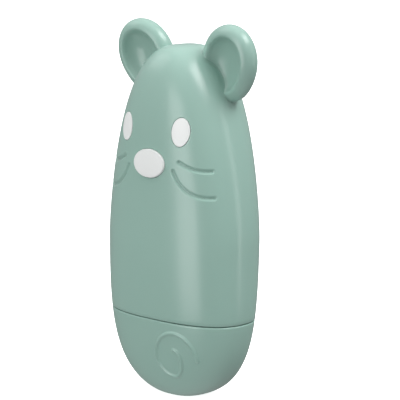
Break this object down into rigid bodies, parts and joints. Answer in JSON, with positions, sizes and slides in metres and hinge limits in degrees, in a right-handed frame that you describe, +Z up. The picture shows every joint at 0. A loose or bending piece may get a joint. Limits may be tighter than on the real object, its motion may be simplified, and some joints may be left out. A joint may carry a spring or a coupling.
{
  "type": "baby nail care set in a mouse-shaped case",
  "caption": "Hard case in the shape of a sitting mouse with round ears; the cover pulls off the base to show scissors, clipper, file and tweezers in a rack.",
  "frame": {"origin": "middle of the flat foot under the base", "axes": "+Z up to the ears, the face looks along -Y, +X is to the left of the mouse"},
  "size_m": [0.0704, 0.0422, 0.1488],
  "materials": {
    "mint_gloss": "satin gloss moulded ABS in mint green",
    "white_gloss": "smooth white inserts",
    "rack_plastic": "fine matt moulded white",
    "mint_satin": "soft satin moulded grips",
    "polished_steel": "fine brushed stainless steel",
    "file_steel": "fine etched file surface"
  },
  "bodies": {
    "base": {"base_cup": "mint_gloss", "tool_rack": "rack_plastic"},
    "cover": {"cover_shell": "mint_gloss", "left_eye": "white_gloss", "right_eye": "white_gloss", "nose_button": "white_gloss"},
    "scissor_pivot": {"scissor_pivot_screw": "polished_steel"},
    "scissor_right_half": {"scissor_blade_front": "polished_steel", "scissor_handle_right": "mint_satin"},
    "scissor_left_half": {"scissor_blade_rear": "polished_steel", "scissor_handle_left": "mint_satin"},
    "clipper_frame": {"clipper_lower_jaw": "polished_steel", "clipper_tail_rivet": "polished_steel", "clipper_pin": "polished_steel", "clipper_body_grip": "mint_satin"},
    "clipper_top_jaw": {"clipper_upper_jaw": "polished_steel"},
    "clipper_lever_arm": {"clipper_lever": "polished_steel", "clipper_lever_grip": "mint_satin"},
    "nail_file": {"file_blade": "file_steel", "file_handle": "mint_satin"},
    "tweezers": {"tweezer_tail_rivet": "polished_steel"},
    "tweezers_left_arm": {"tweezer_arm_left": "polished_steel", "tweezer_grip_left": "mint_satin"},
    "tweezers_right_arm": {"tweezer_arm_right": "polished_steel", "tweezer_grip_right": "mint_satin"}
  },
  "joints": [
    {"name": "cover_lift", "type": "slide", "parent": "base", "child": "cover", "axis": [0, 0, 1], "range_m": [0, 0.2]},
    {"name": "scissors_lift", "type": "slide", "parent": "base", "child": "scissor_pivot", "axis": [0, 0, 1], "range_m": [0, 0.06]},
    {"name": "scissors_open_right", "type": "hinge", "parent": "scissor_pivot", "child": "scissor_right_half", "pos_m": [0, 0.0062, 0.0522], "axis": [0, 1, 0], "range_deg": [0, 15]},
    {"name": "scissors_open_left", "type": "hinge", "parent": "scissor_pivot", "child": "scissor_left_half", "pos_m": [0, 0.0062, 0.0522], "axis": [0, -1, 0], "range_deg": [0, 15]},
    {"name": "clipper_lift", "type": "slide", "parent": "base", "child": "clipper_frame", "axis": [0, 0, 1], "range_m": [0, 0.04]},
    {"name": "clipper_jaw_squeeze", "type": "hinge", "parent": "clipper_frame", "child": "clipper_top_jaw", "pos_m": [-0.0117, -0.0008, 0.0426], "axis": [-1, 0, 0], "range_deg": [0, 1.3], "stiffness_Nm_per_rad": 5},
    {"name": "clipper_lever_lift", "type": "hinge", "parent": "clipper_frame", "child": "clipper_lever_arm", "pos_m": [-0.0117, -0.0058, 0.0896], "axis": [-1, 0, 0], "range_deg": [0, 60]},
    {"name": "file_lift", "type": "slide", "parent": "base", "child": "nail_file", "axis": [0, 0, 1], "range_m": [0, 0.055]},
    {"name": "tweezers_lift", "type": "slide", "parent": "base", "child": "tweezers", "axis": [0, 0, 1], "range_m": [0, 0.05]},
    {"name": "tweezers_squeeze_right", "type": "hinge", "parent": "tweezers", "child": "tweezers_right_arm", "pos_m": [0.0125, -0.0025, 0.086], "axis": [0, 1, 0], "range_deg": [0, 1.5], "stiffness_Nm_per_rad": 0.8},
    {"name": "tweezers_squeeze_left", "type": "hinge", "parent": "tweezers", "child": "tweezers_left_arm", "pos_m": [0.0125, -0.0025, 0.086], "axis": [0, -1, 0], "range_deg": [0, 1.5], "stiffness_Nm_per_rad": 0.8}
  ],
  "couplings": [
    {"joint": "scissors_lift", "follows": "cover_lift", "ratio": 0.3},
    {"joint": "scissors_open_right", "follows": "cover_lift", "rad_per_m": 1.3089},
    {"joint": "scissors_open_left", "follows": "cover_lift", "rad_per_m": 1.3089},
    {"joint": "clipper_lift", "follows": "cover_lift", "ratio": 0.2},
    {"joint": "clipper_lever_lift", "follows": "cover_lift", "rad_per_m": 5.2355},
    {"joint": "file_lift", "follows": "cover_lift", "ratio": 0.275},
    {"joint": "tweezers_lift", "follows": "cover_lift", "ratio": 0.25},
    {"joint": "tweezers_squeeze_left", "follows": "tweezers_squeeze_right", "ratio": 1}
  ]
}
